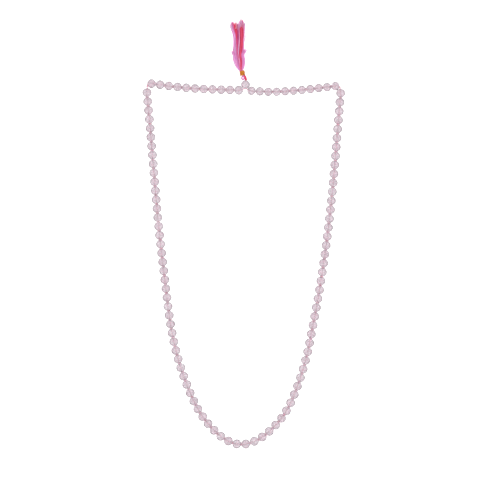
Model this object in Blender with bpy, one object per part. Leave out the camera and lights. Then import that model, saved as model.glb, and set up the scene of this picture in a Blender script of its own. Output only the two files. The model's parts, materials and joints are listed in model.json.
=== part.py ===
"""A 108-bead mala laid flat as an open loop, in metres with +Z up.

The guru bead sits over the origin with its underside on z = 0, the tassel points along +Y and the
loop hangs along -Y. Each side holds 54 beads, knotted on the cord in 27 pairs that bend at their ends.
"""

import math

import bmesh
import bpy
from mathutils import Vector

MM = 0.001

# Driving dimensions
BEAD_RADIUS = 3.95 * MM
GURU_RADIUS = 4.0 * MM
TOP_BEADS = 11
SIDE_BEADS = 43
CORD_RADIUS = 0.5 * MM
THREAD_RADIUS = 0.4 * MM
KNOT_RADIUS = 0.97 * MM
SOCKET_RIM = 1.25 * MM
SOCKET_FLOOR = 0.75 * MM
SOCKET_DEPTH = 0.85 * MM
CORD_PAST_PIVOT = 0.3 * MM
GURU_CUP_RIM = 1.8 * MM
GURU_CUP_FLOOR = 1.55 * MM
GURU_CUP_DEPTH = 0.95 * MM
THREAD_OFFSET = 0.9 * MM
THREAD_INSIDE_CUP = 0.45 * MM
BINDING_INNER = 1.6 * MM
BINDING_OUTER = 2.2 * MM
BINDING_LENGTH = 4.6 * MM
NECK_RADIUS = 1.25 * MM
TASSEL_KNOT_RADIUS = 0.95 * MM
SEGMENTS = 8

# Where each side of the loop runs, in millimetres: the top from the guru bead to the corner, then the
# side from the corner down to the lowest point. The mala is laid by hand, so the sides differ a little.
RIGHT_TOP = [Vector(p) for p in ((5.8, -5.9), (25.9, -6.8), (53.8, -4.8), (86.1, -0.9))]
LEFT_TOP = [Vector(p) for p in ((-6.4, -5.5), (-39.3, -4.6), (-64.2, -2.9), (-90.0, 0.2))]
RIGHT_SIDE = [
    Vector((91.2, -7.6)),
    Vector((88.6, -41.8)),
    Vector((85.4, -84.5)),
    Vector((80.5, -135.9)),
    Vector((73.6, -187.8)),
    Vector((66.2, -231.2)),
    Vector((59.2, -265.0)),
    Vector((48.5, -297.6)),
    Vector((36.6, -319.6)),
    Vector((18.8, -337.2)),
    Vector((2.95, -344.2)),
]
LEFT_SIDE = [
    Vector((-94.3, -8.4)),
    Vector((-91.0, -42.1)),
    Vector((-87.1, -84.6)),
    Vector((-82.1, -136.1)),
    Vector((-75.7, -187.9)),
    Vector((-69.8, -231.0)),
    Vector((-62.0, -264.8)),
    Vector((-50.0, -297.2)),
    Vector((-37.8, -319.3)),
    Vector((-20.7, -337.3)),
    Vector((-5.65, -344.2)),
]

# The tassel's stations
TASSEL_KNOT = Vector((0.8, 5.3, 4.0)) * MM
BINDING_CENTRE = Vector((-2.8, 11.2, 2.9)) * MM
SKIRT_PIVOT = Vector((-4.0, 14.0, 2.5)) * MM
SKIRT_START_Y = 15.1 * MM
SKIRT_END_Y = 60.5 * MM
SKIRT_START_X = -4.2 * MM
SKIRT_BOW = -1.7 * MM
SKIRT_LEAN = -2.3 * MM
SKIRT_HALF_HEIGHT = 2.4 * MM
BUNDLE_GAP = 0.35 * MM

# Angles from a bead's hole at which its surface has a ring; the middle two bound a band at full radius
BEAD_RINGS = [math.radians(a) for a in (45, 77, 103, 135)]

# The most that a bead's hole leans from the run of the cord on its jointed side
MOST_LEAN = math.radians(9)

# Base colour, roughness and metallic value
ROSE_QUARTZ = ((0.86, 0.74, 0.76), 0.25, 0.0)
RED_SILK = ((0.85, 0.12, 0.30), 0.7, 0.0)
LAVENDER_SILK = ((0.80, 0.47, 0.75), 0.7, 0.0)
GOLD_THREAD = ((0.85, 0.50, 0.10), 0.5, 0.2)


def clear_scene():
    for obj in list(bpy.data.objects):
        bpy.data.objects.remove(obj, do_unlink=True)


def material_for(name, look):
    colour, roughness, metallic = look
    material = bpy.data.materials.new(name + "_finish")
    material.use_nodes = True
    shader = material.node_tree.nodes["Principled BSDF"]
    shader.inputs["Base Color"].default_value = (*colour, 1.0)
    shader.inputs["Roughness"].default_value = roughness
    shader.inputs["Metallic"].default_value = metallic
    return material


def spline(points, after_last):
    """Closely spaced points on a Catmull-Rom curve through the given ones."""
    steps = 32
    before_first = points[0] * 2 - points[1]
    path = [before_first, *points, after_last]
    found = [points[0]]
    for a, b, c, d in zip(path, path[1:], path[2:], path[3:]):
        for step in range(1, steps + 1):
            t = step / steps
            found.append(
                0.5 * (2 * b + (c - a) * t + (2 * a - 5 * b + 4 * c - d) * t**2)
                + 0.5 * (3 * b - a - 3 * c + d) * t**3
            )
    return found


def spaced(curve, count):
    """That many points at equal distances along the curve, its two ends included."""
    lengths = [0.0]
    for a, b in zip(curve, curve[1:]):
        lengths.append(lengths[-1] + (b - a).length)
    found = []
    at = 0
    for index in range(count):
        wanted = lengths[-1] * index / (count - 1)
        while at < len(curve) - 2 and lengths[at + 1] < wanted:
            at += 1
        share = (wanted - lengths[at]) / (lengths[at + 1] - lengths[at])
        found.append(curve[at].lerp(curve[at + 1], share))
    return found


def bead_centres(top, down, across):
    """One side's 54 bead centres, from the guru bead to the lowest point; across is the far side's last."""
    flat = spaced(spline(top, top[-1] * 2 - top[-2]), TOP_BEADS)
    flat += spaced(spline(down, across), SIDE_BEADS)
    return [Vector((p.x * MM, p.y * MM, BEAD_RADIUS)) for p in flat]


def ring(centre, axis, half_width, half_height=None):
    """An even ring of corners round an axis, whose flat sides stand at the given distances."""
    half_height = half_height or half_width
    across = Vector((0, 0, 1)).cross(axis).normalized()
    up = axis.normalized().cross(across)
    corner = 1 / math.cos(math.pi / SEGMENTS)
    points = []
    for index in range(SEGMENTS):
        angle = math.tau * (index + 0.5) / SEGMENTS
        points.append(
            centre
            + across * (half_width * corner * math.cos(angle))
            + up * (half_height * corner * math.sin(angle))
        )
    return points


def add_node(name, look, rings, origin, closed_tube=False):
    """One solid skinned over a list of rings; closed_tube joins the last ring to the first."""
    mesh = bpy.data.meshes.new(name)
    work = bmesh.new()
    loops = [[work.verts.new(point - origin) for point in points] for points in rings]
    bands = list(zip(loops, loops[1:]))
    if closed_tube:
        bands.append((loops[-1], loops[0]))
    else:
        work.faces.new(reversed(loops[0]))
        work.faces.new(loops[-1])
    for low, high in bands:
        for index in range(SEGMENTS):
            after = (index + 1) % SEGMENTS
            work.faces.new((low[index], low[after], high[after], high[index]))
    work.to_mesh(mesh)
    work.free()
    mesh.shade_smooth()
    mesh.set_sharp_from_angle(angle=math.radians(60))
    obj = bpy.data.objects.new(name, mesh)
    obj.location = origin
    obj.data.materials.append(material_for(name, look))
    bpy.context.scene.collection.objects.link(obj)
    return obj


def plane_at(radius, bead_radius=BEAD_RADIUS):
    """How far from a bead's centre its surface is cut to a flat of this radius."""
    return math.sqrt(bead_radius**2 - radius**2)


def bead_surface(centre, axis, entry_radius, exit_radius, bead_radius=BEAD_RADIUS):
    """The rings over a bead's outside, from the rim where the cord goes in to the one it leaves by."""
    rings = [ring(centre - axis * plane_at(entry_radius, bead_radius), axis, entry_radius)]
    for angle in BEAD_RINGS:
        along = -bead_radius * math.cos(angle)
        around = bead_radius * math.sin(angle) / math.sin(BEAD_RINGS[1])
        rings.append(ring(centre + axis * along, axis, around))
    rings.append(ring(centre + axis * plane_at(exit_radius, bead_radius), axis, exit_radius))
    return rings


def thread_start(side):
    return Vector((side * THREAD_OFFSET, -plane_at(GURU_CUP_RIM, GURU_RADIUS), BEAD_RADIUS))


def bead_axes(centres, start, past_end):
    """Each bead's hole direction: halfway between its neighbours, within MOST_LEAN of its jointed side."""
    path = [start, *centres, past_end]
    axes = []
    for index, (before, here, after) in enumerate(zip(path, path[1:], path[2:])):
        enters, leaves = (here - before).normalized(), (after - here).normalized()
        jointed_side = enters if index % 2 == 0 else leaves
        halfway = (enters + leaves).normalized()
        lean = jointed_side.angle(halfway)
        share = min(1.0, MOST_LEAN / lean) if lean > 0 else 0.0
        axes.append(jointed_side.slerp(halfway, share))
    return axes


def knot_pivot(centres, axes, pair):
    """The joint at the start of a pair: midway between the hole mouths that face each other there."""
    first = 2 * pair
    leaves = centres[first - 1] + axes[first - 1] * plane_at(KNOT_RADIUS)
    enters = centres[first] - axes[first] * plane_at(SOCKET_RIM)
    return (leaves + enters) / 2


def build_pair(name, centres, axes, start, pair):
    """Two beads on their cord: a socket, a bead, the knot between, a bead, and the cord's end."""
    first = 2 * pair
    last_pair = first + 2 == len(centres)
    near, far = centres[first], centres[first + 1]
    near_axis, far_axis = axes[first], axes[first + 1]
    if pair == 0:
        pivot = start
        entry_radius = KNOT_RADIUS
        mouth = near - near_axis * plane_at(entry_radius)
        run = (mouth - pivot).normalized()
        rings = [ring(pivot - run * THREAD_INSIDE_CUP, run, THREAD_RADIUS)]
        rings.append(ring(mouth, near_axis, THREAD_RADIUS))
    else:
        pivot = knot_pivot(centres, axes, pair)
        entry_radius = SOCKET_RIM
        floor = near - near_axis * (plane_at(entry_radius) - SOCKET_DEPTH)
        rings = [ring(floor, near_axis, SOCKET_FLOOR)]
    rings += bead_surface(near, near_axis, entry_radius, KNOT_RADIUS)
    rings += bead_surface(far, far_axis, KNOT_RADIUS, KNOT_RADIUS)
    if not last_pair:
        mouth = far + far_axis * plane_at(KNOT_RADIUS)
        beyond = knot_pivot(centres, axes, pair + 1)
        run = (beyond - mouth).normalized()
        rings.append(ring(mouth, far_axis, CORD_RADIUS))
        rings.append(ring(beyond + run * CORD_PAST_PIVOT, run, CORD_RADIUS))
    add_node(name, ROSE_QUARTZ, rings, pivot)


def build_side(word, side, top, down, across):
    """One side of the loop: its 27 pairs, from the thread out of the guru bead to the lowest point."""
    centres = bead_centres(top, down, across)
    start = thread_start(side)
    axes = bead_axes(centres, start, Vector((across.x * MM, across.y * MM, BEAD_RADIUS)))
    for pair in range(len(centres) // 2):
        build_pair(f"{word}_pair_{pair + 1:02d}", centres, axes, start, pair)


def build_guru():
    """The larger bead that both ends of the cord come out of, through the cup under it."""
    centre = Vector((0, 0, GURU_RADIUS))
    axis = Vector((0, 1, 0))
    floor = centre - axis * (plane_at(GURU_CUP_RIM, GURU_RADIUS) - GURU_CUP_DEPTH)
    rings = [ring(floor, axis, GURU_CUP_FLOOR)]
    rings += bead_surface(centre, axis, GURU_CUP_RIM, KNOT_RADIUS, GURU_RADIUS)
    add_node("guru_bead", ROSE_QUARTZ, rings, Vector((0, 0, 0)))


def build_tassel_neck():
    """The knot above the guru bead, the doubled cord from it, and the gold thread bound round that."""
    run = (BINDING_CENTRE - TASSEL_KNOT).normalized()
    half = run * BINDING_LENGTH / 2
    knot_end = run * TASSEL_KNOT_RADIUS * 0.85
    cord = [
        ring(TASSEL_KNOT - knot_end, run, TASSEL_KNOT_RADIUS * 0.5),
        ring(TASSEL_KNOT, run, TASSEL_KNOT_RADIUS),
        ring(TASSEL_KNOT + knot_end, run, TASSEL_KNOT_RADIUS * 0.6),
        ring(TASSEL_KNOT + run * 2.6 * MM, run, NECK_RADIUS),
        ring(BINDING_CENTRE + half, run, NECK_RADIUS),
    ]
    add_node("tassel_cord", RED_SILK, cord, TASSEL_KNOT)
    start, end = BINDING_CENTRE - half, BINDING_CENTRE + half
    bulge = BINDING_OUTER - 0.25 * MM
    binding = [
        ring(start, run, bulge),
        ring(start + half / 2, run, BINDING_OUTER),
        ring(end - half / 2, run, BINDING_OUTER),
        ring(end, run, bulge),
        ring(end, run, BINDING_INNER),
        ring(start, run, BINDING_INNER),
    ]
    add_node("gold_binding", GOLD_THREAD, binding, TASSEL_KNOT, closed_tube=True)


def skirt_point(share, across):
    """A point in the skirt at a share of its length and a distance across, at table height."""
    x = SKIRT_START_X + SKIRT_BOW * (1 - math.exp(-6 * share)) + SKIRT_LEAN * share**2
    y = SKIRT_START_Y + (SKIRT_END_Y - SKIRT_START_Y) * share
    return Vector((x + across, y, 0))


def skirt_half_width(share):
    """Half the skirt's whole width: narrow at the binding, full by a third, and flared at the ends."""
    swell = 3.6 * MM * math.sin(min(share * 2.6, 1.0) * math.pi / 2)
    return 1.6 * MM + swell + 1.4 * MM * share**3


def build_bundle(name, look, low_share, high_share, ends):
    """One bundle of the skirt, filling part of its width; ends are its start and end along the skirt."""
    axis = Vector((0, 1, 0))
    rings = []
    for step in range(8):
        share = ends[0] + (ends[1] - ends[0]) * step / 7
        low = skirt_half_width(share) * low_share + BUNDLE_GAP / 2
        high = skirt_half_width(share) * high_share - BUNDLE_GAP / 2
        half_height = SKIRT_HALF_HEIGHT * (1 - 0.55 * (1 - share) ** 8)
        centre = skirt_point(share, (low + high) / 2)
        centre.z = half_height + (SKIRT_PIVOT.z - half_height) * (1 - share) ** 8
        rings.append(ring(centre, axis, (high - low) / 2, half_height))
    add_node(name, look, rings, SKIRT_PIVOT)


def build_skirt():
    build_bundle("skirt_left", LAVENDER_SILK, -1.0, -0.34, (0.02, 0.985))
    build_bundle("skirt_core", RED_SILK, -0.34, 0.34, (0.0, 1.0))
    build_bundle("skirt_right", LAVENDER_SILK, 0.34, 1.0, (0.02, 0.97))


clear_scene()
build_guru()
build_side("right", 1, RIGHT_TOP, RIGHT_SIDE, LEFT_SIDE[-1])
build_side("left", -1, LEFT_TOP, LEFT_SIDE, RIGHT_SIDE[-1])
build_tassel_neck()
build_skirt()
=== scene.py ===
"""The looks of a rose quartz mala: polished beads on a knotted silk cord, and a silk tassel.

Lengths are in metres, in the CAD's frame: the mala lies on z = 0 with its tassel towards +Y.
"""

import json
import math
import random

import bmesh
import bpy
import numpy as np
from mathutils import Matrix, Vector


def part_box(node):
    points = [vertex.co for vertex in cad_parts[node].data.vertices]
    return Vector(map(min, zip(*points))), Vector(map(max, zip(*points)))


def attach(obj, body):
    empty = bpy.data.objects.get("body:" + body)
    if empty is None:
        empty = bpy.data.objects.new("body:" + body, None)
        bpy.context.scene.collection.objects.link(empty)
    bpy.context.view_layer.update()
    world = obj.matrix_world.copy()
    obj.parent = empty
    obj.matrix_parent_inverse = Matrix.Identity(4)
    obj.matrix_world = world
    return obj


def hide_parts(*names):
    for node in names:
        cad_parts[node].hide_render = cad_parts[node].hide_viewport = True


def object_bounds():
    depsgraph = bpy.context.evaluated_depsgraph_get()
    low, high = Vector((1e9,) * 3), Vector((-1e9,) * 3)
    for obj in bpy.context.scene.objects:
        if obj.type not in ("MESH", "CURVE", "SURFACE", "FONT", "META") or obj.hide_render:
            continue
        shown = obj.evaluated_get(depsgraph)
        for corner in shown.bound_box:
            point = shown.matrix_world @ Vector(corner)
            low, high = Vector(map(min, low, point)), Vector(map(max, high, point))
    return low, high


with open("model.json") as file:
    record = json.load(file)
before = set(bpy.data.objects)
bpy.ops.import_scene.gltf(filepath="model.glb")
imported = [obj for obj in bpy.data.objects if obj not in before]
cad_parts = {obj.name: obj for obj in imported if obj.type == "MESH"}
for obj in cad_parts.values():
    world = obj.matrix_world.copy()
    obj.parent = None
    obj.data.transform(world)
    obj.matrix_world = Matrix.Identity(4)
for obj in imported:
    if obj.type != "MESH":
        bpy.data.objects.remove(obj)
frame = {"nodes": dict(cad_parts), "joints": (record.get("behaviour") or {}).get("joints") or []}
cad_low, cad_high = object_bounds()

MM = 0.001
UP = Vector((0, 0, 1))
PIVOTS = {joint["child"]: Vector(joint["pos_m"]) for joint in frame["joints"]}
PAIRS_A_SIDE = 27

# Beads
BEAD_RADIUS = (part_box("right_pair_10")[1].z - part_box("right_pair_10")[0].z) / 2
GURU_RADIUS = (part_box("guru_bead")[1].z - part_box("guru_bead")[0].z) / 2
FULLEST_BEAD = 1.08 * BEAD_RADIUS  # where the neighbours leave room for it
BEAD_CLEARANCE = 0.04 * MM
SMALLEST_SHARE = 0.99  # the beads' sizes differ by up to one per cent
WIDER_ACROSS = 1.035  # across the hole: a guess that brings the outline up to the photo's
HOLE_RADIUS = 0.45 * MM
HOLE_CHAMFER = 0.8 * MM
COUNTERSINK = 0.25 * MM  # how much deeper than wide the chamfer is
HOLE_WALL = 0.5 * MM  # how much of the hole's wall is drawn at either end
BEAD_SIDES = 36
BEAD_BANDS = 20
RIM_SHADE_FALL = 1.5  # how fast the painted shade at the rim fades towards the holes

# Cord and knots
CORD_RADIUS = 0.42 * MM
CORD_INSET = 0.3 * MM  # from a CAD bead's surface to the first bend of the cord inside it
CORD_LAY = 3200.0  # radians per metre
PLY_DEPTH = 0.16
KNOT_WIDTH = 1.9 * MM
WIDEST_KNOT = 0.8 * MM
KNOT_BITE = 0.12 * MM  # how far a knot reaches into the gap's two beads
KNOT_STEPS = 42


# ---------------------------------------------------------------- materials


# A Mix node's sockets for colours: the share, the first and second colour, and the result
MIX_INPUTS = (0, 6, 7)
MIX_OUTPUT = 2


class Nodes:
    """A material's node tree, with short calls to add nodes and links."""

    def __init__(self, name):
        self.material = bpy.data.materials.new(name)
        self.material.use_nodes = True
        self.tree = self.material.node_tree
        self.shader = self.tree.nodes["Principled BSDF"]

    def add(self, kind, **settings):
        node = self.tree.nodes.new(kind)
        for key, value in settings.items():
            setattr(node, key, value)
        return node

    def link(self, source, target):
        self.tree.links.new(source, target)

    def set(self, **values):
        for key, value in values.items():
            self.shader.inputs[key.replace("_", " ")].default_value = value

    def noise(self, scale, detail=4.0, roughness=0.5, distortion=0.0, vector=None):
        node = self.add("ShaderNodeTexNoise")
        node.inputs["Scale"].default_value = scale
        node.inputs["Detail"].default_value = detail
        node.inputs["Roughness"].default_value = roughness
        node.inputs["Distortion"].default_value = distortion
        if vector is None:
            vector = self.add("ShaderNodeTexCoord").outputs["Object"]
        self.link(vector, node.inputs["Vector"])
        return node.outputs["Fac"]

    def ramp(self, source, stops):
        node = self.add("ShaderNodeValToRGB")
        elements = node.color_ramp.elements
        while len(elements) < len(stops):
            elements.new(0.5)
        for element, (at, colour) in zip(elements, stops):
            element.position = at
            element.color = (*colour, 1.0)
        self.link(source, node.inputs["Fac"])
        return node.outputs["Color"]

    def mix(self, share, first, second):
        node = self.add("ShaderNodeMix", data_type="RGBA")
        for socket, value in zip(MIX_INPUTS, (share, first, second)):
            if isinstance(value, bpy.types.NodeSocket):
                self.link(value, node.inputs[socket])
            else:
                node.inputs[socket].default_value = value
        return node.outputs[MIX_OUTPUT]

    def range(self, source, low, high):
        node = self.add("ShaderNodeMapRange")
        node.inputs["To Min"].default_value = low
        node.inputs["To Max"].default_value = high
        self.link(source, node.inputs["Value"])
        return node.outputs["Result"]

    def attribute(self, name):
        return self.add("ShaderNodeAttribute", attribute_name=name).outputs["Fac"]

    def bump(self, height, strength, distance):
        node = self.add("ShaderNodeBump")
        node.inputs["Strength"].default_value = strength
        node.inputs["Distance"].default_value = distance
        self.link(height, node.inputs["Height"])
        self.link(node.outputs["Normal"], self.shader.inputs["Normal"])


def quartz_material():
    """Milky rose quartz: cloudy, clear enough to show the cord inside, and with painted shade that
    darkens its rim.
    """
    nodes = Nodes("rose_quartz")
    cloud = nodes.noise(240, detail=5, roughness=0.6, distortion=0.8)
    body = nodes.ramp(
        cloud,
        [(0.30, (0.70, 0.58, 0.65)), (0.5, (0.78, 0.68, 0.74)), (0.70, (0.88, 0.81, 0.86))],
    )
    vein = nodes.noise(620, detail=3, roughness=0.45, distortion=2.5)
    vein_share = nodes.ramp(vein, [(0.5, (0, 0, 0)), (0.56, (0.35, 0.35, 0.35)), (0.62, (0, 0, 0))])
    veined = nodes.mix(vein_share, body, (0.98, 0.95, 0.97, 1.0))
    tone_share = nodes.range(nodes.attribute("tone"), 0.0, 0.3)
    tinted = nodes.mix(tone_share, veined, (0.80, 0.62, 0.71, 1.0))
    # Painted shade: the facing ramp darkens the colour towards each bead's outline, scaled by girth
    # so that it fades out at the holes.
    facing = nodes.add("ShaderNodeLayerWeight").outputs["Facing"]
    edge = nodes.ramp(facing, [(0.28, (0, 0, 0)), (0.44, (0.35, 0.35, 0.35)), (0.62, (1, 1, 1))])
    rim = nodes.add("ShaderNodeMath", operation="MULTIPLY")
    nodes.link(edge, rim.inputs[0])
    nodes.link(nodes.attribute("girth"), rim.inputs[1])
    # The painted rim shade's colour is the dark mauve (0.24, 0.20, 0.22).
    colour = nodes.mix(rim.outputs["Value"], tinted, (0.24, 0.20, 0.22, 1.0))
    nodes.link(colour, nodes.shader.inputs["Base Color"])
    nodes.link(nodes.range(cloud, 0.16, 0.30), nodes.shader.inputs["Roughness"])
    nodes.set(
        Transmission_Weight=0.4,
        Subsurface_Weight=0.25,
        Subsurface_Radius=(1.0, 0.7, 0.8),
        Subsurface_Scale=1.2 * MM,
        IOR=1.2,
        Specular_IOR_Level=0.25,
    )
    nodes.bump(nodes.noise(2400, detail=2), 0.08, 0.05 * MM)
    return nodes.material


ALONG_THE_SKIRT = 0.18  # silk patterns are drawn out in Y, the way that the strands run


def silk_material(name, stops, sheen=(1.0, 0.85, 0.9)):
    """Dyed silk thread: each strand takes its colour from a ramp and fades unevenly."""
    nodes = Nodes(name)
    dye = nodes.ramp(nodes.attribute("tone"), stops)
    stretch = nodes.add("ShaderNodeMapping")
    stretch.inputs["Scale"].default_value = (1.0, ALONG_THE_SKIRT, 1.0)
    place = nodes.add("ShaderNodeTexCoord").outputs["Object"]
    nodes.link(place, stretch.inputs["Vector"])
    fade = nodes.noise(900, detail=4, vector=stretch.outputs["Vector"])
    light = nodes.mix(nodes.range(fade, 0.0, 0.10), dye, (0.95, 0.80, 0.88, 1.0))
    nodes.link(light, nodes.shader.inputs["Base Color"])
    nodes.link(nodes.range(fade, 0.42, 0.66), nodes.shader.inputs["Roughness"])
    nodes.set(Sheen_Weight=0.12, Sheen_Roughness=0.35, Sheen_Tint=(*sheen, 1.0))
    nodes.set(Subsurface_Weight=0.12, Subsurface_Scale=0.3 * MM)
    fibre = nodes.noise(5200, detail=2, vector=stretch.outputs["Vector"])
    nodes.bump(fibre, 0.35, 0.04 * MM)
    return nodes.material


def gold_material():
    """Orange-gold wound thread, with darker flecks."""
    nodes = Nodes("gold_thread")
    fleck = nodes.noise(700, detail=3)
    colour = nodes.ramp(
        fleck,
        [(0.35, (0.34, 0.08, 0.003)), (0.5, (0.74, 0.24, 0.01)), (0.65, (0.92, 0.42, 0.04))],
    )
    nodes.link(colour, nodes.shader.inputs["Base Color"])
    nodes.link(nodes.range(fleck, 0.3, 0.5), nodes.shader.inputs["Roughness"])
    nodes.set(Metallic=0.35, Sheen_Weight=0.2)
    nodes.bump(nodes.noise(4200, detail=2), 0.3, 0.04 * MM)
    return nodes.material


def floor_material():
    """A white table that glows a little, so that it stays as pale as the photo's background."""
    nodes = Nodes("white_table")
    mottle = nodes.noise(3.0, detail=2)
    colour = nodes.ramp(mottle, [(0.3, (0.86, 0.86, 0.865)), (0.7, (0.90, 0.90, 0.90))])
    nodes.link(colour, nodes.shader.inputs["Base Color"])
    nodes.set(Roughness=0.8, Specular_IOR_Level=0.2)
    nodes.set(Emission_Color=(1.0, 1.0, 1.0, 1.0), Emission_Strength=0.62)
    return nodes.material


QUARTZ = quartz_material()
CORD_SILK = silk_material(
    "cord_silk",
    [(0.0, (0.76, 0.24, 0.36)), (0.5, (0.92, 0.46, 0.58)), (1.0, (1.0, 0.68, 0.78))],
)
RED_SILK = silk_material(
    "red_silk",
    [(0.0, (0.78, 0.008, 0.09)), (0.5, (0.90, 0.02, 0.13)), (1.0, (0.96, 0.06, 0.20))],
)
MAGENTA_SILK = silk_material(
    "magenta_silk",
    [(0.0, (0.52, 0.008, 0.18)), (0.5, (0.66, 0.02, 0.26)), (1.0, (0.76, 0.09, 0.38))],
)
LAVENDER_SILK = silk_material(
    "lavender_silk",
    [(0.0, (0.62, 0.08, 0.38)), (0.5, (0.84, 0.24, 0.64)), (1.0, (0.96, 0.56, 0.88))],
    sheen=(0.95, 0.85, 1.0),
)
PALE_SILK = silk_material(
    "pale_silk",
    [(0.0, (0.80, 0.55, 0.74)), (1.0, (0.92, 0.78, 0.89))],
    sheen=(0.95, 0.9, 1.0),
)
GOLD = gold_material()


# ---------------------------------------------------------------- mesh building


SHARP_ANGLE = math.radians(50)


class Piece:
    """A mesh gathered from several shapes, then made into one object that rides on a body."""

    def __init__(self, name, materials):
        self.name = name
        self.materials = materials
        self.points = []
        self.faces = []
        self.tones = []
        self.girths = []
        self.face_materials = []

    def skin(self, rings, tone, material=0, capped=True, girths=None):
        """Quads over a list of rings that each hold the same number of points.

        tone picks the colour, from 0 to 1. girths gives each ring of a bead its nearness to the
        bead's widest part, from 0 to 1; it scales the painted shade at a bead's rim.
        """
        start = len(self.points)
        sides = len(rings[0])
        for points in rings:
            self.points.extend(points)
        self.tones.extend([tone] * (len(rings) * sides))
        for girth in girths or [0.0] * len(rings):
            self.girths.extend([girth] * sides)
        made = []
        for low in range(len(rings) - 1):
            for index in range(sides):
                after = (index + 1) % sides
                first = start + low * sides
                second = first + sides
                made.append((first + index, first + after, second + after, second + index))
        last = start + (len(rings) - 1) * sides
        if capped:
            made.append(tuple(start + index for index in reversed(range(sides))))
            made.append(tuple(last + index for index in range(sides)))
        self.faces.extend(made)
        self.face_materials.extend([material] * len(made))

    def finish(self, body, node):
        """Make the object: it rides on body and stands in for the CAD's node."""
        mesh = bpy.data.meshes.new(self.name)
        mesh.from_pydata([tuple(p) for p in self.points], [], self.faces)
        tone = mesh.attributes.new("tone", "FLOAT", "POINT")
        tone.data.foreach_set("value", self.tones)
        girth = mesh.attributes.new("girth", "FLOAT", "POINT")
        girth.data.foreach_set("value", self.girths)
        for material in self.materials:
            mesh.materials.append(material)
        mesh.polygons.foreach_set("material_index", self.face_materials)
        mesh.shade_smooth()
        mesh.set_sharp_from_angle(angle=SHARP_ANGLE)
        mesh.validate()
        obj = bpy.data.objects.new(self.name, mesh)
        bpy.context.scene.collection.objects.link(obj)
        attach(obj, body)
        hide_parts(node)


def across_and_up(axis):
    """Two directions square to axis and to each other."""
    other = UP if abs(axis.z) < 0.9 else Vector((0, 1, 0))
    across = other.cross(axis).normalized()
    return across, axis.cross(across).normalized()


def bead_rings(centre, axis, radius, chamfer=HOLE_CHAMFER, hole=HOLE_RADIUS):
    """A polished ball with a chamfered hole along axis, as rings from one end to the other."""
    across, up = across_and_up(axis)
    rim = math.asin(chamfer / radius)
    depth = radius * math.cos(rim) - (chamfer - hole) - COUNTERSINK
    profile = [(hole * 0.9, -depth + HOLE_WALL), (hole, -depth)]
    for band in range(BEAD_BANDS + 1):
        angle = rim + (math.pi - 2 * rim) * band / BEAD_BANDS
        profile.append((WIDER_ACROSS * radius * math.sin(angle), -radius * math.cos(angle)))
    profile += [(hole, depth), (hole * 0.9, depth - HOLE_WALL)]
    rings = []
    for around, along in profile:
        points = []
        for index in range(BEAD_SIDES):
            turn = math.tau * index / BEAD_SIDES
            points.append(
                centre + axis * along + (across * math.cos(turn) + up * math.sin(turn)) * around
            )
        rings.append(points)
    return rings


def bead_girths():
    """The girth of each of a bead's rings, 0 at the two rings inside either end of the hole."""
    bands = [math.sin(math.pi * band / BEAD_BANDS) ** RIM_SHADE_FALL for band in range(BEAD_BANDS + 1)]
    return [0.0, 0.0, *bands, 0.0, 0.0]


def tube_rings(path, radius, sides=8, lobes=0, twist=0.0):
    """Rings along a path, carried without spin.

    radius is a number or a function of the share of the path. lobes is a plied thread's number
    of plies and twist their turn, in radians per metre.
    """
    rings = []
    across = None
    travelled = 0.0
    for index, point in enumerate(path):
        before, after = path[max(index - 1, 0)], path[min(index + 1, len(path) - 1)]
        axis = (after - before).normalized()
        if across is None:
            across, up = across_and_up(axis)
        else:
            across = (across - axis * across.dot(axis)).normalized()
            up = axis.cross(across)
            travelled += (point - path[index - 1]).length
        size = radius(index / (len(path) - 1)) if callable(radius) else radius
        points = []
        for side in range(sides):
            turn = math.tau * side / sides
            here = size
            if lobes:
                here *= 1 + PLY_DEPTH * math.cos(lobes * turn - twist * travelled)
            points.append(point + (across * math.cos(turn) + up * math.sin(turn)) * here)
        rings.append(points)
    return rings


def curve_through(points, steps=8):
    """Points on a Catmull-Rom curve through the given ones."""
    path = [points[0] * 2 - points[1], *points, points[-1] * 2 - points[-2]]
    found = [points[0].copy()]
    for a, b, c, d in zip(path, path[1:], path[2:], path[3:]):
        for step in range(1, steps + 1):
            t = step / steps
            found.append(
                0.5 * (2 * b + (c - a) * t + (2 * a - 5 * b + 4 * c - d) * t**2)
                + 0.5 * (3 * b - a - 3 * c + d) * t**3
            )
    return found


# ---------------------------------------------------------------- beads on their cord


def pair_places(node, start):
    """(centre, hole direction) of a pair's two beads, nearest to start first.

    Each CAD bead has a flat band on top, whose four corners are centred on the bead and whose
    short side runs along its hole.
    """
    mesh = frame["nodes"][node].data
    corners = np.unique(np.round([v.co for v in mesh.vertices], 6), axis=0)
    top = corners[corners[:, 2] > corners[:, 2].max() - 0.02 * MM]
    near = top[np.argsort(np.hypot(*(top[:, :2] - np.array(start)[:2]).T))]
    first = near[0]
    order = np.argsort(np.hypot(*(top[:, :2] - first[:2]).T))
    places = []
    for group in (top[order[:4]], top[order[4:8]]):
        middle = group.mean(axis=0)
        spread = (group - middle)[:, :2]
        values, vectors = np.linalg.eigh(spread.T @ spread)
        axis = Vector((*vectors[:, 0], 0)).normalized()
        places.append([Vector((middle[0], middle[1], BEAD_RADIUS)), axis])
    along = places[1][0] - places[0][0]
    for place in places:
        if place[1].dot(along) < 0:
            place[1] = -place[1]
    return places


QUARTZ_AND_SILK = [QUARTZ, CORD_SILK]
SILK = 1  # the cord's place in that list


def knot_path(centre, axis, width, thickness):
    """A small overhand knot drawn as a flattened trefoil winding round the cord."""
    across, up = across_and_up(axis)
    points = []
    for step in range(KNOT_STEPS):
        turn = math.tau * step / KNOT_STEPS
        around = width * (0.62 + 0.26 * math.cos(3 * turn))
        points.append(
            centre
            + across * (around * math.cos(2 * turn))
            + up * (around * math.sin(2 * turn))
            + axis * (thickness * math.sin(3 * turn))
        )
    points.append(points[0].copy())
    return points


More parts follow.
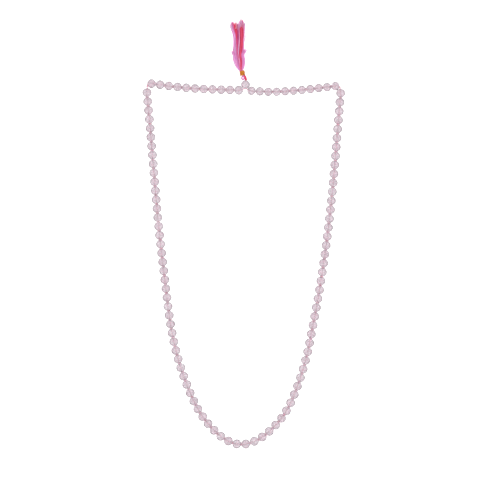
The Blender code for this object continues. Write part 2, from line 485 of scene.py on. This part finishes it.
def add_knot(piece, centre, axis, gap, rng):
    """A knot no thicker than the gap between two beads, over a small core that fills its middle."""
    gap = min(gap, WIDEST_KNOT)
    strand = min(0.3 * MM, gap * 0.34)
    path = knot_path(centre, axis, KNOT_WIDTH, max(gap * 0.5 - strand, 0.05 * MM))
    piece.skin(tube_rings(path, strand, 6), rng.uniform(0.6, 1.0), SILK, capped=False)
    core = [centre - axis * strand, centre, centre + axis * strand]
    rings = tube_rings(core, lambda t: (0.35 + 0.3 * math.sin(math.pi * t)) * MM, 10)
    piece.skin(rings, 0.7, SILK)


def add_cord(piece, start, near, far, end, rng):
    """The plied cord of one pair: from start, through both beads, to end."""
    stops = [start]
    for place in (near, far):
        stops += [mouth(place, -1), place[0], mouth(place, 1)]
    path = curve_through([*stops, end], 5)
    rings = tube_rings(path, CORD_RADIUS, 12, lobes=3, twist=CORD_LAY)
    piece.skin(rings, 0.4 * rng.random(), SILK)


def mouth(place, end):
    """Just inside a bead's hole, at its start (-1) or its end (1)."""
    centre, axis = place
    return centre + axis * (end * (BEAD_RADIUS - CORD_INSET))


def build_side(word, other):
    """One side's pairs of beads. The knot that closes the loop belongs to the right side."""
    rng = random.Random(word)
    side = 1 if word == "right" else -1
    far_name = f"{other}_pair_{PAIRS_A_SIDE}"
    other_lowest = pair_places(far_name, PIVOTS[far_name])[1]
    names = [f"{word}_pair_{number:02d}" for number in range(1, PAIRS_A_SIDE + 1)]
    places = {}
    for name in names:
        places[name] = pair_places(name, PIVOTS[name])
    lowest = places[names[-1]][1]
    closing = lowest[0].lerp(other_lowest[0], 0.5)
    stones = [place[0] for name in names for place in places[name]]
    row = [Vector((0, 0, BEAD_RADIUS)), *stones, other_lowest[0]]
    for index, name in enumerate(names):
        near, far = places[name]
        pivot = PIVOTS[name]
        last = index == len(names) - 1
        following = closing if last else PIVOTS[names[index + 1]]
        piece = Piece(f"{word}_beads_{index + 1:02d}", QUARTZ_AND_SILK)
        for step, (centre, axis) in enumerate((near, far), 2 * index + 1):
            room = min((centre - row[step - 1]).length, (centre - row[step + 1]).length)
            radius = min((room - BEAD_CLEARANCE) / 2, FULLEST_BEAD)
            radius *= rng.uniform(SMALLEST_SHARE, 1.0)
            piece.skin(bead_rings(centre, axis, radius), rng.random(), girths=bead_girths())
        middle_axis = (mouth(far, -1) - mouth(near, 1)).normalized()
        start = pivot + Vector((-side * 0.55, 0.35, 0)) * MM if index == 0 else pivot
        add_cord(piece, start, near, far, following, rng)
        gap = (far[0] - near[0]).length - 2 * BEAD_RADIUS + KNOT_BITE
        add_knot(piece, (mouth(near, 1) + mouth(far, -1)) / 2, middle_axis, gap, rng)
        if not last or side == 1:
            ahead = other_lowest[0] if last else places[names[index + 1]][0][0]
            gap = (ahead - far[0]).length - 2 * BEAD_RADIUS
            add_knot(piece, following, (ahead - far[0]).normalized(), gap + KNOT_BITE, rng)
        piece.finish(name, name)


def build_guru():
    """The guru bead, with a wider hole for the doubled cord and a knot under it."""
    rng = random.Random("guru")
    centre = Vector((0, 0, GURU_RADIUS))
    axis = Vector((0, 1, 0))
    piece = Piece("guru_bead_stone", QUARTZ_AND_SILK)
    rings = bead_rings(centre, axis, GURU_RADIUS * 1.02, chamfer=1.15 * MM, hole=0.8 * MM)
    piece.skin(rings, 0.35, girths=bead_girths())
    under = Vector((0, -GURU_RADIUS - 0.05 * MM, BEAD_RADIUS + 0.2 * MM))
    add_knot(piece, under, axis, WIDEST_KNOT, rng)
    piece.finish("guru", "guru_bead")


# ---------------------------------------------------------------- tassel


def smooth_line(*stations):
    """A function that runs smoothly through (place, value) stations."""
    places, values = np.array(stations, dtype=float).T
    slopes = np.gradient(values, places)

    def value(at):
        index = int(np.clip(np.searchsorted(places, at) - 1, 0, len(places) - 2))
        span = places[index + 1] - places[index]
        t = min(max((at - places[index]) / span, 0.0), 1.0)
        low, high = values[index], values[index + 1]
        rise = low + (high - low) * t * t * (3 - 2 * t)
        return rise + span * t * (1 - t) * ((1 - t) * slopes[index] - t * slopes[index + 1])

    return value


NECK_BODY, CORE_BODY = "tassel_neck", "tassel_skirt"
LEFT_BODY, RIGHT_BODY = "tassel_left", "tassel_right"
KNOT_PLACE = PIVOTS[NECK_BODY]
SKIRT_PIVOT = PIVOTS[CORE_BODY]
BINDING_LOW, BINDING_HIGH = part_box("gold_binding")
BINDING_CENTRE = (BINDING_LOW + BINDING_HIGH) / 2
SKIRT_LENGTH = (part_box("skirt_core")[1].y - SKIRT_PIVOT.y) / MM  # in millimetres
SKIRT_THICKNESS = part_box("skirt_core")[1].z
NECK_LAY = 2600.0  # radians per metre
WRAP_AXIS = Vector((-0.16, 1.0, 0.0)).normalized()

# The skirt's edges, in millimetres to the side of its pivot, against the millimetres along from it
LEFT_EDGE = smooth_line(
    (-1, -1.9), (3, -5.4), (9, -7.6), (15, -8.3), (26, -7.7), (34, -8.6), (41, -10.9), (47, -12.0)
)
RIGHT_EDGE = smooth_line((-1, 1.1), (3, 2.8), (8, 3.6), (15, 2.6), (26, 2.1), (36, 2.3), (47, 2.8))
# Where each lock ends, as a share of the skirt's width from its left edge
LAVENDER_END = smooth_line((0, 0.42), (10, 0.48), (20, 0.36), (29, 0.29), (46, 0.20))
INNER_RED_END = smooth_line((0, 0.42), (10, 0.48), (20, 0.36), (29, 0.33), (38, 0.46), (46, 0.50))
MAGENTA_END = smooth_line((0, 0.43), (10, 0.50), (20, 0.46), (29, 0.53), (46, 0.58))
VIOLET_END = smooth_line((0, 0.46), (10, 0.54), (20, 0.56), (29, 0.60), (46, 0.68))
MAIN_RED_END = smooth_line((0, 0.66), (10, 0.76), (20, 0.88), (29, 0.96), (46, 0.92))
# How far the strands reach, against the share of the width: tufts with valleys between them
TIP = smooth_line(
    (0.0, 42), (0.2, 45.4), (0.3, 43.6), (0.4, 45.2), (0.55, 43.8), (0.74, 47.6), (1.0, 44.5)
)
ROOT = -1  # where the strands start, in millimetres along: inside the binding
WISP_ROOT = 22  # where the loose fibres leave the right edge
LOWEST_STRAND = 0.25 * MM  # the least height of a strand's middle
STRAND_RADIUS = 0.17 * MM
LOOP_RADIUS = 0.1 * MM
WISP_RADIUS = 0.09 * MM
TAPER, TAPER_LENGTH = 0.5, 0.15  # how much of its radius a strand loses, over which share of it
LOCK_STEPS, CURL_STEPS, WISP_STEPS = 20, 14, 12
WRAP_STEPS = 14  # a turn


def wrap_path(start, end, radius, turns, rng):
    """A thread wound round the line from start to end."""
    axis = (end - start).normalized()
    across, up = across_and_up(axis)
    steps = turns * WRAP_STEPS
    points = []
    for step in range(steps + 1):
        share = step / steps
        turn = math.tau * turns * share
        swell = radius * (1 + 0.08 * math.sin(math.pi * share) + 0.04 * rng.uniform(-1, 1))
        points.append(
            start.lerp(end, share) + (across * math.cos(turn) + up * math.sin(turn)) * swell
        )
    return points


def build_binding():
    """A core and two layers of thread wound over it, there and back."""
    rng = random.Random("binding")
    centre = BINDING_CENTRE + Vector((-0.3, -0.2, 0)) * MM
    half = WRAP_AXIS * 2.2 * MM
    start, end = centre - half, centre + half
    under = wrap_path(start, end, 2.1 * MM, 8, rng)
    over = wrap_path(end, start, 2.3 * MM, 5, rng)
    piece = Piece("gold_wrap", [GOLD])
    piece.skin(tube_rings([start, centre, end], 2.05 * MM, 20), 0.3)
    piece.skin(tube_rings(under, 0.34 * MM, 8), 0.5)
    piece.skin(tube_rings(over, 0.28 * MM, 8), 0.9)
    piece.finish(NECK_BODY, "gold_binding")


def build_neck():
    """The red knot over the guru bead, then two red strands and a lavender loop."""
    rng = random.Random("neck")
    into = BINDING_CENTRE + Vector((-0.45, -0.2, 0)) * MM - WRAP_AXIS * 2.0 * MM
    piece = Piece("neck_cord", [RED_SILK, LAVENDER_SILK])
    red, lavender = 0, 1
    knot = KNOT_PLACE + Vector((-0.3, -0.4, 0)) * MM
    run = (into - knot).normalized()
    across = UP.cross(run).normalized()
    for tilt in (-0.5, 0.6):
        lean = (run + across * tilt).normalized()
        path = knot_path(knot, lean, 1.05 * MM, 0.45 * MM)
        piece.skin(tube_rings(path, 0.36 * MM, 8), rng.random(), red, capped=False)
    reach = run * 0.7 * MM
    piece.skin(tube_rings([knot - reach, knot, knot + reach], 0.6 * MM, 10), 0.5, red)
    guru_top = Vector((0, GURU_RADIUS - 0.5 * MM, GURU_RADIUS))
    rings = tube_rings(curve_through([guru_top, knot]), 0.42 * MM, 10, lobes=3, twist=3000.0)
    piece.skin(rings, 0.4, red)
    for offset in (-0.6, 0.5):
        path = curve_through(
            [
                knot,
                knot.lerp(into, 0.45) - across * (0.8 + offset) * MM,
                into + Vector((1.3 - offset, 0, 0)) * MM,
                into + Vector((0.8 - offset, 1.2, 0)) * MM,
            ]
        )
        rings = tube_rings(path, 0.74 * MM, 12, lobes=3, twist=NECK_LAY)
        piece.skin(rings, 0.4 * rng.random(), red)
    eye = knot.lerp(into, 0.3) + Vector((-1.9, 0.2, 0)) * MM
    for size, lift in ((1.0, 0.0), (0.8, 0.35), (0.86, -0.35)):
        loop = [into + Vector((-0.5, 1.0, lift)) * MM]
        for step in range(9):
            turn = math.radians(70 + 320 * step / 8)
            around = Vector((1.3 * size * math.cos(turn), 1.7 * size * math.sin(turn), lift))
            loop.append(eye + around * MM)
        loop.append(into + Vector((0.2, 1.0, lift)) * MM)
        path = curve_through(loop, 4)
        rings = tube_rings(path, 0.52 * MM, 10, lobes=3, twist=NECK_LAY)
        piece.skin(rings, rng.uniform(0.3, 0.9), lavender)
    piece.finish(NECK_BODY, "tassel_cord")


def skirt_point(along, share, lift):
    """A point of the skirt: along from its pivot, share across its width, lift from -1 to 1."""
    left, right = LEFT_EDGE(along), RIGHT_EDGE(along)
    half = SKIRT_THICKNESS / 2
    bow = math.sqrt(max(1 - (2 * share - 1) ** 2, 0.12))
    spread = min(0.45 + max(along, 0) / 12, 1)
    return Vector(
        (
            SKIRT_PIVOT.x + (left + (right - left) * share) * MM,
            SKIRT_PIVOT.y + along * MM,
            max(half + lift * half * bow * spread, LOWEST_STRAND),
        )
    )


def add_strand(piece, points, size, material, tone):
    """A thread that thins towards its tip."""

    def radius(share):
        return size * (1 - TAPER * max(share - (1 - TAPER_LENGTH), 0) / TAPER_LENGTH)

    piece.skin(tube_rings(points, radius, 6), tone, material)


def add_lock(piece, low, high, count, material, rng, tones=(0.0, 1.0)):
    """A lock of strands between two lines across the skirt, rounded in itself."""
    tip_low, tip_high = low(SKIRT_LENGTH), high(SKIRT_LENGTH)
    for _ in range(count):
        place = rng.random()
        lift = rng.uniform(-1, 1) * math.sqrt(1 - 0.8 * (2 * place - 1) ** 2)
        phase, waves = rng.uniform(0, math.tau), rng.uniform(1.0, 2.2)
        stray, rise = rng.gauss(0, 0.5), rng.gauss(0, 0.3)
        reach = TIP(tip_low + (tip_high - tip_low) * place) + rng.gauss(0, 0.8)
        points = []
        for step in range(LOCK_STEPS + 1):
            done = step / LOCK_STEPS
            along = ROOT + (reach - ROOT) * done
            start, end = low(along), high(along)
            point = skirt_point(along, start + (end - start) * place, lift)
            wave = 0.25 * math.sin(phase + waves * done * math.tau) * min(done * 4, 1)
            point.x += (wave + stray * done**4) * MM
            point.z = max(point.z + rise * done**4 * MM, LOWEST_STRAND)
            points.append(point)
        size = STRAND_RADIUS * rng.uniform(0.8, 1.25)
        add_strand(piece, points, size, material, rng.uniform(*tones))


def add_curl(piece, side, bulge_at, count, material, rng):
    """Shorter strands low on one edge (side -1 is the left one), whose ends turn out in a curl."""
    for _ in range(count):
        depth = rng.random()
        lift = rng.uniform(0.1, 1.0)
        end = bulge_at + rng.gauss(0, 0.7)
        points = []
        share = depth * 0.30 if side < 0 else 1 - depth * 0.26
        height = (2.1 + 0.3 * side) * (1 - 0.5 * depth)
        for step in range(CURL_STEPS + 1):
            along = ROOT + (end - ROOT) * step / CURL_STEPS
            point = skirt_point(along, share, lift)
            bulge = math.exp(-(((along - bulge_at) / 2.0) ** 2))
            point.x += side * height * bulge * MM
            points.append(point)
        last = points[-1]
        hook = rng.uniform(0.7, 1.3)
        for turn in (0.6, 1.5, 2.4):
            bend = Vector((side * math.sin(turn) * 0.5, (1 - math.cos(turn)) * 0.9, -0.5))
            points.append(last + bend * hook * MM)
        size = STRAND_RADIUS * rng.uniform(0.85, 1.3)
        add_strand(piece, points, size, material, rng.uniform(0.2, 1.0))


def add_wisps(piece, count, material, rng):
    """A few fine loose fibres that stand off the skirt's upper right."""
    for index in range(count):
        lean = 0.8 + 0.6 * index + rng.uniform(-0.3, 0.3)
        top = rng.uniform(40, 46)
        points = []
        for step in range(WISP_STEPS + 1):
            done = step / WISP_STEPS
            point = skirt_point(WISP_ROOT + (top - WISP_ROOT) * done, 1.0, 0.2)
            point.x += lean * done**1.6 * MM
            point.z += 0.8 * done * MM
            points.append(point)
        add_strand(piece, points, WISP_RADIUS, material, rng.random())


def add_tip_loops(piece, low, high, count, material, rng):
    """Strands that turn over at the tip and hang back down."""
    for _ in range(count):
        share = rng.uniform(low, high)
        reach = TIP(share) + rng.uniform(-0.6, 0.9)
        width = rng.choice((-1, 1)) * rng.uniform(0.5, 1.1)
        path = [skirt_point(along, share, 0.9) for along in (reach - 6, reach - 4, reach - 2.5)]
        for turn in (0.0, 0.8, 1.6, 2.4, 3.1):
            path.append(
                skirt_point(reach - 1, share, 1.0)
                + Vector((width * (1 - math.cos(turn)) / 2, math.sin(turn), 0.2)) * MM
            )
        path.append(path[-1] + Vector((0.1 * width, -1.6, 0)) * MM)
        add_strand(piece, curve_through(path, 3), LOOP_RADIUS, material, rng.random())


def nothing(_along):
    return 0.0


def whole(_along):
    return 1.0


def build_skirt():
    """Three bundles of strands. The calls share one row of random draws, so their order counts."""
    rng = random.Random("skirt")
    left = Piece("skirt_left_strands", [LAVENDER_SILK, PALE_SILK])
    lavender, pale = 0, 1
    add_lock(left, nothing, LAVENDER_END, 74, lavender, rng, (0.25, 1.0))
    add_curl(left, -1, 16.2, 30, lavender, rng)
    add_tip_loops(left, 0.02, 0.14, 3, pale, rng)
    left.finish(LEFT_BODY, "skirt_left")

    core = Piece("skirt_core_strands", [RED_SILK, MAGENTA_SILK, LAVENDER_SILK, PALE_SILK])
    red, magenta, lavender, pale = range(4)
    add_lock(core, LAVENDER_END, INNER_RED_END, 44, red, rng, (0.3, 1.0))
    add_lock(core, INNER_RED_END, MAGENTA_END, 34, magenta, rng, (0.2, 1.0))
    add_lock(core, MAGENTA_END, VIOLET_END, 20, lavender, rng, (0.4, 1.0))
    add_lock(core, VIOLET_END, MAIN_RED_END, 74, red, rng)
    add_tip_loops(core, 0.55, 0.9, 10, lavender, rng)
    add_tip_loops(core, 0.2, 0.9, 6, pale, rng)
    core.finish(CORE_BODY, "skirt_core")

    right = Piece("skirt_right_strands", [LAVENDER_SILK, PALE_SILK])
    lavender, pale = 0, 1
    add_lock(right, MAIN_RED_END, whole, 46, lavender, rng, (0.4, 1.0))
    add_curl(right, 1, 18.0, 26, lavender, rng)
    add_wisps(right, 11, pale, rng)
    add_tip_loops(right, 0.9, 0.98, 3, pale, rng)
    right.finish(RIGHT_BODY, "skirt_right")


# ---------------------------------------------------------------- stage


TABLE_SIDES = 40  # half the table's side, against the part's diagonal
TABLE_DROP = 0.5  # its depth under the mala, against the mala's length
WORLD_LIGHT = 0.62
SOFTBOXES = (  # name, place from the mala's middle in metres, size in metres, watts
    ("key_softbox", Vector((-0.35, 0.30, 1.2)), 0.8, 5.0),
    ("fill_softbox", Vector((0.5, -0.3, 1.1)), 1.0, 3.0),
)

SEEN_WIDTH = 459.6 * MM
AIM_FROM_GURU = Vector((-4.1, -149.05)) * MM
CAMERA_TURN = math.radians(0.44)
LENS = 150


def build_stage():
    """A pale table, low enough that a folded mala stays clear of it, and soft light from above."""
    middle = (cad_low + cad_high) / 2
    side = TABLE_SIDES * (cad_high - cad_low).length
    drop = TABLE_DROP * (cad_high.y - cad_low.y)
    mesh = bpy.data.meshes.new("table_top")
    work = bmesh.new()
    for x, y in ((-1, -1), (1, -1), (1, 1), (-1, 1)):
        work.verts.new((middle.x + x * side, middle.y + y * side, -drop))
    work.faces.new(work.verts)
    work.to_mesh(mesh)
    work.free()
    mesh.materials.append(floor_material())
    floor = bpy.data.objects.new("table_top", mesh)
    bpy.context.scene.collection.objects.link(floor)

    world = bpy.data.worlds.new("soft_studio")
    world.use_nodes = True
    tree = world.node_tree
    background = tree.nodes["Background"]
    background.inputs["Color"].default_value = (1.0, 1.0, 1.0, 1.0)
    background.inputs["Strength"].default_value = WORLD_LIGHT
    bpy.context.scene.world = world

    for name, place, size, power in SOFTBOXES:
        lamp = bpy.data.lights.new(name, "AREA")
        lamp.size = size
        lamp.energy = power
        obj = bpy.data.objects.new(name, lamp)
        obj.location = middle + place
        obj.rotation_euler = (middle - obj.location).to_track_quat("-Z", "Y").to_euler()
        bpy.context.scene.collection.objects.link(obj)


def build_camera():
    """Straight down on the mala, through a long lens, with the picture's top towards the tassel."""
    guru = sum(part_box("guru_bead"), Vector()) / 2
    aim = Vector((*(guru.xy + AIM_FROM_GURU), BEAD_RADIUS))
    camera = bpy.data.cameras.new("camera")
    camera.lens = LENS
    distance = SEEN_WIDTH * camera.lens / camera.sensor_width
    obj = bpy.data.objects.new("camera", camera)
    obj.location = aim + Vector((0, 0, distance))
    obj.rotation_euler = (0, 0, CAMERA_TURN)
    camera.clip_start = 0.05
    camera.clip_end = 50
    bpy.context.scene.collection.objects.link(obj)
    bpy.context.scene.camera = obj


build_side("right", "left")
build_side("left", "right")
build_guru()
build_neck()
build_binding()
build_skirt()
build_stage()
build_camera()
bpy.context.scene.view_settings.view_transform = "Standard"
